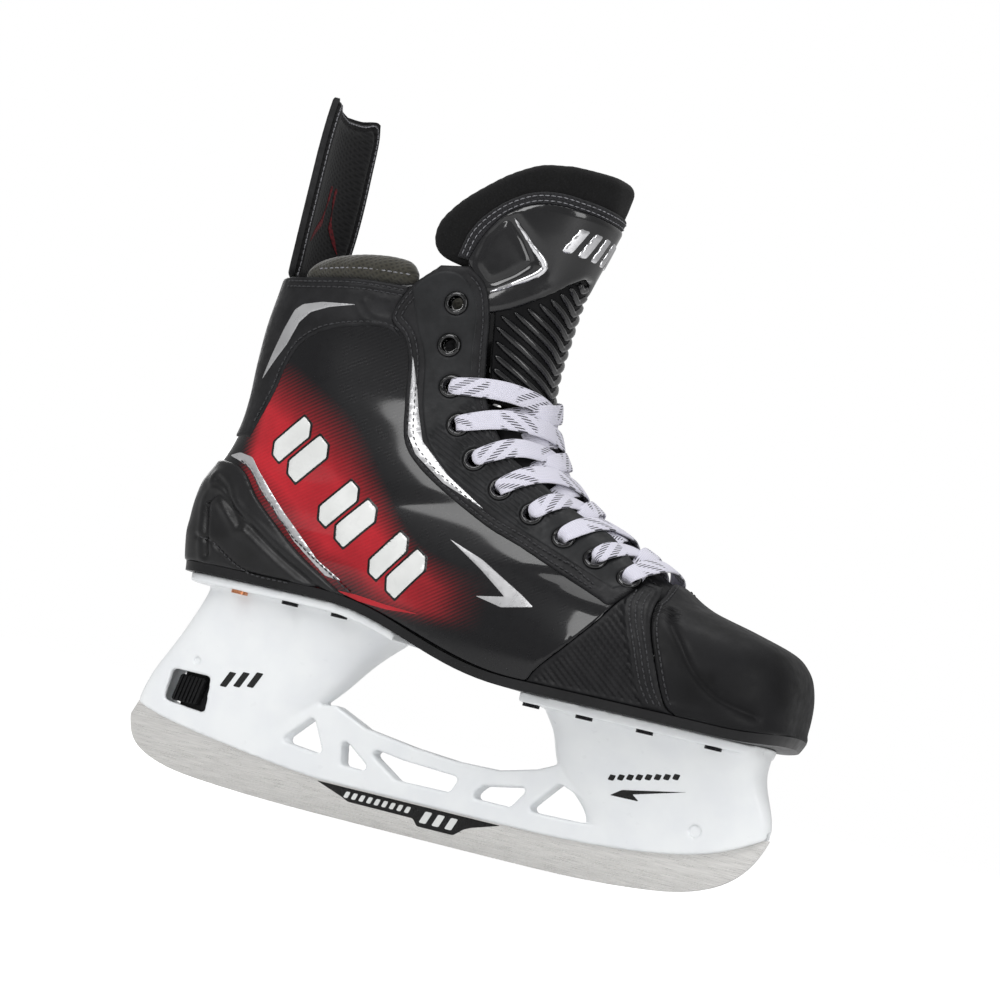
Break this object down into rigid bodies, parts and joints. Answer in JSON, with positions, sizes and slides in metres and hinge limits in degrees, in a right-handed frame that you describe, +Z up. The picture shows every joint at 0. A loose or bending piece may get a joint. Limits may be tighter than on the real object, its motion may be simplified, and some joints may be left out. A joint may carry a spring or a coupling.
{
  "type": "ice hockey skate",
  "caption": "Right-foot ice hockey skate: laced boot with flexing tendon guard and tongue on a trussed white holder with a quick-release steel runner.",
  "frame": {"origin": "on the ice under the middle of the runner, in the runner's own plane", "axes": "+X towards the toe, +Y towards the inner (medial) side of the right foot, +Z up"},
  "size_m": [0.2981, 0.0973, 0.304],
  "materials": {
    "gloss_shell": "gloss moulded skin over composite",
    "matte_trim": "matte synthetic leather",
    "toe_plastic": "satin moulded",
    "vamp_mesh": "ribbed synthetic",
    "counter_plastic": "satin moulded",
    "lining": "brushed microfibre over foam",
    "sole_plastic": "satin",
    "board": "fibre board",
    "footbed_foam": "foam with fabric top",
    "facing": "matte synthetic, stitched",
    "eyelet_metal": "black gloss enamel",
    "collar_fabric": "brushed, padded",
    "felt": "thick felt",
    "tongue_plastic": "moulded gloss",
    "lace_weave": "flat weave with dark flecks",
    "holder_plastic": "white moulded, satin gloss",
    "pin_steel": "turned",
    "spring_steel": "wire",
    "rivet_steel": "dark plated",
    "rivet_copper": "copper",
    "guard_shell": "textured synthetic",
    "guard_fabric": "soft woven pad",
    "runner_steel": "ground stainless",
    "trigger_plastic": "moulded"
  },
  "bodies": {
    "boot": {"quarter_outer": "gloss_shell", "quarter_inner": "gloss_shell", "backstay": "matte_trim", "toe_cap": "toe_plastic", "vamp_outer": "vamp_mesh", "vamp_inner": "vamp_mesh", "heel_counter": "counter_plastic", "liner": "lining", "outsole": "sole_plastic", "insole_board": "board", "footbed": "footbed_foam", "eyestay_outer": "facing", "eyestay_inner": "facing", "eyelets_outer": "eyelet_metal", "eyelets_inner": "eyelet_metal", "collar_outer": "collar_fabric", "collar_inner": "collar_fabric", "tongue_lower": "felt", "lace": "lace_weave", "holder": "holder_plastic", "trigger_pin": "pin_steel", "trigger_spring": "spring_steel", "front_hook_pin": "pin_steel", "rivets_front": "rivet_steel", "rivets_rear": "rivet_steel", "rivets_copper": "rivet_copper", "washers_front": "rivet_steel", "washers_rear": "rivet_steel"},
    "guard": {"tendon_guard": "guard_shell", "guard_lining": "guard_fabric"},
    "tongue": {"tongue_upper": "felt", "tongue_plate": "tongue_plastic", "tongue_ribs": "tongue_plastic"},
    "runner": {"runner": "runner_steel"},
    "trigger": {"trigger": "trigger_plastic"}
  },
  "joints": [
    {"name": "guard_flex", "type": "hinge", "parent": "boot", "child": "guard", "pos_m": [-0.1135, 0, 0.231], "axis": [0, -1, 0], "range_deg": [-8, 30], "stiffness_Nm_per_rad": 0.6},
    {"name": "tongue_flex", "type": "hinge", "parent": "boot", "child": "tongue", "pos_m": [-0.004, 0, 0.193], "axis": [0, 1, 0], "range_deg": [-3, 35], "stiffness_Nm_per_rad": 1.2},
    {"name": "runner_swing", "type": "hinge", "parent": "boot", "child": "runner", "pos_m": [0.118, 0, 0.031], "axis": [0, -1, 0], "range_deg": [0, 3], "stiffness_Nm_per_rad": 20, "springref_deg": -1.72},
    {"name": "trigger_release", "type": "hinge", "parent": "boot", "child": "trigger", "pos_m": [-0.119, 0, 0.052], "axis": [0, 1, 0], "range_deg": [0, 24]}
  ],
  "couplings": [
    {"joint": "trigger_release", "follows": "runner_swing", "ratio": 8}
  ]
}
